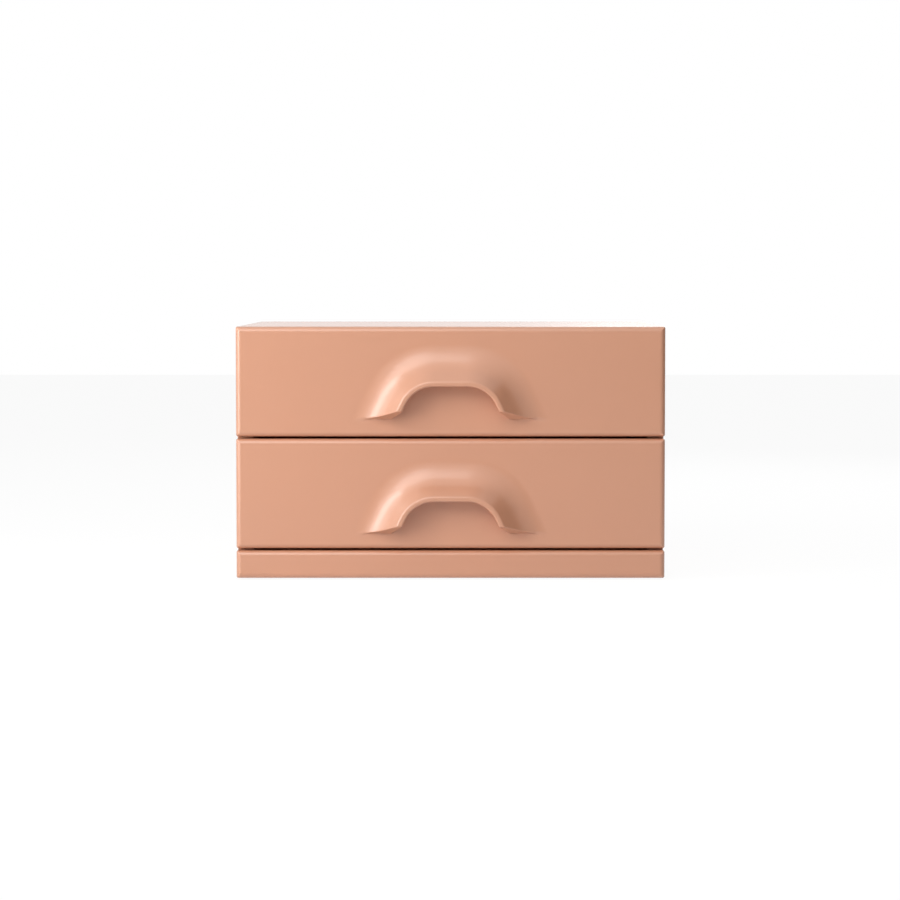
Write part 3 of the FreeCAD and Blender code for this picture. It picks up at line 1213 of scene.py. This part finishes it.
@dataclass(frozen=True)
class Carcass:
    """Everything that stands still: boards, plinth, rails, pads and bumpers."""

    body: str = "carcass"
    board_ease: float = 0.5 * MM
    rail_ease: float = 0.2 * MM
    back_ease: float = 0.3 * MM
    pad_ease: float = 0.4 * MM
    bumper_ease: float = 0.35 * MM

    def build(self) -> None:
        """Makes and dresses each piece of the carcass."""
        for node in ("top_panel", "right_side_panel", "left_side_panel", "bottom_panel"):
            form = NodeForm(node).eased(self.board_ease, steps=3)
            form.piece(f"{node}_lacquered", self.body, LACQUER, [node])
        FacingBoard("plinth_board", self.body).build()
        plain = {
            "back_panel": (BACK_PAINT, self.back_ease),
            "joint_tongues": (BEECH, self.board_ease),
            "glide_pads": (FELT, self.pad_ease),
            "closing_bumpers": (SOFT_RUBBER, self.bumper_ease),
        }
        for node, (finish, width) in plain.items():
            NodeForm(node).eased(width).piece(f"{node}_eased", self.body, finish, [node])
        pins = Form()
        for level in Level:
            for side in Side:
                node = f"{level.value}_{side.word}_carcass_rail"
                form = NodeForm(node).eased(self.rail_ease)
                form.piece(f"{node}_coated", self.body, COATED_STEEL, [node])
                Roller(level, side, "front").add_pin(pins)
        Countersunk("carcass_rail_screws", self.body, heads_outward=False).build()
        node = "carcass_roller_pins"
        pins.piece(f"{node}_turned", self.body, ZINC_STEEL, [node])


@dataclass(frozen=True)
class Drawer:
    """One drawer: its front, its box, its rails and its rollers."""

    level: Level
    arch_below: float
    board_ease: float = 0.4 * MM
    rail_ease: float = 0.2 * MM

    @property
    def body(self) -> str:
        """The body that slides."""
        return f"{self.level.value}_drawer"

    def build(self) -> None:
        """Makes and dresses each piece of the drawer."""
        name = self.level.value
        FacingBoard(f"{name}_drawer_front", self.body, self.arch_below).build()
        boards = {
            "box_right_side": SIDE_TIMBER, "box_left_side": SIDE_TIMBER,
            "box_back": REAR_TIMBER, "box_bottom": BOTTOM_PLY,
        }
        for part, finish in boards.items():
            node = f"{name}_{part}"
            form = NodeForm(node).eased(self.board_ease)
            form.piece(f"{node}_sealed", self.body, finish, [node])
        for side in Side:
            node = f"{name}_{side.word}_drawer_rail"
            form = NodeForm(node).eased(self.rail_ease)
            form.piece(f"{node}_coated", self.body, COATED_STEEL, [node])
        Countersunk(f"{name}_drawer_rail_screws", self.body, heads_outward=True).build()
        pins = Form()
        for side in Side:
            for end in ("front", "rear"):
                Roller(self.level, side, end).build()
            Roller(self.level, side, "rear").add_pin(pins)
        node = f"{name}_drawer_roller_pins"
        pins.piece(f"{node}_turned", self.body, ZINC_STEEL, [node])


@dataclass(frozen=True)
class Softbox:
    """A large soft lamp, placed by angles round the chest. Distances in metres."""

    name: str
    azimuth: float
    elevation: float
    distance: float
    size: Span
    power: float

    def build(self, aim: Vector) -> None:
        """Hangs the lamp so that it faces a point.

        Args:
            aim: the point that it faces.
        """
        data = bpy.data.lights.new(self.name, "AREA")
        data.shape = "RECTANGLE"
        data.size, data.size_y = self.size
        data.energy = self.power
        azimuth, elevation = math.radians(self.azimuth), math.radians(self.elevation)
        level = math.cos(elevation)
        away = Vector((-math.sin(azimuth) * level, -math.cos(azimuth) * level, math.sin(elevation)))
        made = add_object(self.name, data)
        made.location = aim + away * self.distance
        made.rotation_euler = away.to_track_quat("Z", "Y").to_euler()


@dataclass(frozen=True)
class Studio:
    """Camera, lamps, floor and surroundings. Lengths in metres, angles in degrees.

    The curtain's plan gives its corners along the floor, each as (x, y, height).
    """

    camera_place: Point = (-0.0005, -2.889, 0.2769)
    camera_tilt: float = 3.258
    lens: float = 117.0
    sensor: float = 36.0
    aim: Point = (0.0, -0.17, 0.12)
    lamps: tuple[Softbox, ...] = (
        Softbox("strip_left", 56.0, 18.0, 1.3, (0.35, 1.1), 6.8),
        Softbox("key_left", 60.0, 18.0, 1.3, (1.2, 1.1), 6.2),
        Softbox("main", 20.0, 40.0, 1.6, (0.9, 0.9), 7.3),
        Softbox("front_fill", 0.0, 25.0, 2.0, (1.6, 1.2), 5.4),
        Softbox("right_fill", -45.0, 20.0, 1.6, (1.2, 1.0), 2.1),
        Softbox("overhead", 0.0, 80.0, 1.3, (1.4, 1.4), 1.6),
        Softbox("rear_fill", -150.0, 32.0, 1.8, (1.6, 1.2), 9.0),
    )
    ambient: float = 0.08
    floor_half: float = 6.0
    curtain_plan: tuple[Point, ...] = (
        (1.6, 1.3, 1.6), (1.5, -1.5, 1.6), (2.6, -3.4, 2.7), (-3.2, -3.4, 2.7),
    )

    def build(self) -> None:
        """Sets up the whole studio."""
        self._camera()
        for lamp in self.lamps:
            lamp.build(Vector(self.aim))
        self._surroundings()
        self._floor()
        self._curtain()
        bpy.context.scene.view_settings.view_transform = "Standard"

    def _camera(self) -> None:
        """The camera at the photograph's place and angle."""
        data = bpy.data.cameras.new("camera")
        data.lens = self.lens
        data.sensor_width = self.sensor
        made = add_object("camera", data)
        made.location = self.camera_place
        made.rotation_euler = (math.radians(90.0 - self.camera_tilt), 0.0, 0.0)
        bpy.context.scene.camera = made

    def _surroundings(self) -> None:
        """White surroundings as seen and mirrored, and a plain soft light from all round."""
        world = bpy.data.worlds.new("surroundings")
        world.use_nodes = True
        bpy.context.scene.world = world
        graph = Graph(world.node_tree)
        strength = graph.seen().between(self.ambient, 1.0)
        sky = graph.node("ShaderNodeBackground", {}, {"Color": WHITE, "Strength": strength})
        graph.end(sky, "ShaderNodeOutputWorld")

    def _floor(self) -> None:
        """A plain pale floor that keeps the chest's shadow."""
        half = self.floor_half
        corners = [(-half, -half, 0.0), (half, -half, 0.0), (half, half, 0.0), (-half, half, 0.0)]
        self._stage("studio_floor", corners, [(0, 1, 2, 3)], STUDIO_PAPER)

    def _curtain(self) -> None:
        """A grey curtain right of the chest and behind the camera, to be mirrored, not seen."""
        points = [(x, y, z * top) for z in (0, 1) for x, y, top in self.curtain_plan]
        count = len(self.curtain_plan)
        faces = [(k, k + 1, count + k + 1, count + k) for k in range(count - 1)]
        self._stage("grey_curtain", points, faces, CURTAIN_CLOTH, in_view=False)

    @staticmethod
    def _stage(
        name: str, points: Sequence[Point], faces: Sequence[Sequence[int]], finish: Finish,
        in_view: bool = True,
    ) -> None:
        """Makes a surface that is part of the studio only.

        Args:
            name: the surface's name.
            points: its corners.
            faces: its faces, as numbers of corners.
            finish: what it is made of.
            in_view: whether the camera sees it.
        """
        data = bpy.data.meshes.new(name)
        data.from_pydata(points, [], faces)
        data.materials.append(finish.material())
        made = add_object(name, data)
        made.visible_camera = in_view


def main() -> None:
    """Builds the chest and its studio in order."""
    logging.basicConfig(level=logging.INFO, format="%(name)s: %(message)s")
    Carcass().build()
    Drawer(Level.LOWER, arch_below=2.05 * MM).build()
    Drawer(Level.UPPER, arch_below=-0.15 * MM).build()
    Studio().build()
    LOG.info("all pieces are in place")


if __name__ == "__main__":
    main()
